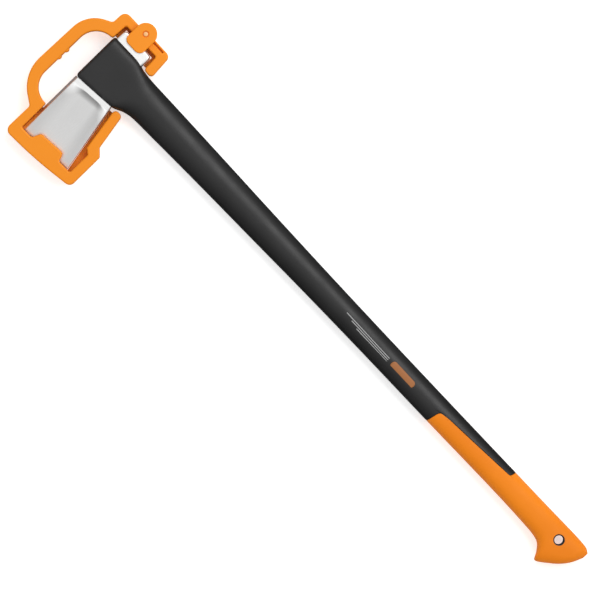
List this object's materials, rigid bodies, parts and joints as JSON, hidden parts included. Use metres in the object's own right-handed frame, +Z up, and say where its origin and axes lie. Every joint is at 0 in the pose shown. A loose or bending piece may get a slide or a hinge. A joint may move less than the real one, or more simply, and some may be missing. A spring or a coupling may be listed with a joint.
{
  "type": "splitting axe",
  "caption": "Long-handled wedge-headed axe with a hollow composite shaft, soft hooked grip and a hang hole, in a rigid clip-on blade sheath with carry handle and swinging latch.",
  "frame": {"origin": "middle of the bounding box at the surface that the axe lies on", "axes": "+X along the handle from the head to the butt, +Y from the cutting edge towards the poll, +Z up out of the side that faces up as it lies flat"},
  "size_m": [0.962, 0.2346, 0.04],
  "materials": {
    "steel": "ground and satin, fine grinding lines along the blade",
    "black_composite": "satin moulded glass-filled nylon",
    "soft_grip": "soft-touch overmould, fine matt grain",
    "sheath_plastic": "satin moulded polypropylene",
    "pin_plastic": "smooth moulded pin"
  },
  "bodies": {
    "axe": {"axe_head": "steel", "handle_shaft": "black_composite", "grip_sleeve": "soft_grip", "handle_end_plug": "black_composite", "hang_hole_liner": "black_composite"},
    "sheath": {"sheath_frame": "sheath_plastic", "latch_pivot_pin": "pin_plastic"},
    "latch": {"sheath_latch": "sheath_plastic"}
  },
  "joints": [
    {"name": "sheath_lift", "type": "slide", "parent": "axe", "child": "sheath", "axis": [0, 0, 1], "range_m": [0, 0.08]},
    {"name": "latch_pivot", "type": "hinge", "parent": "sheath", "child": "latch", "pos_m": [-0.4089, 0.1023, 0.02], "axis": [0, 0, 1], "range_deg": [0, 105]}
  ]
}
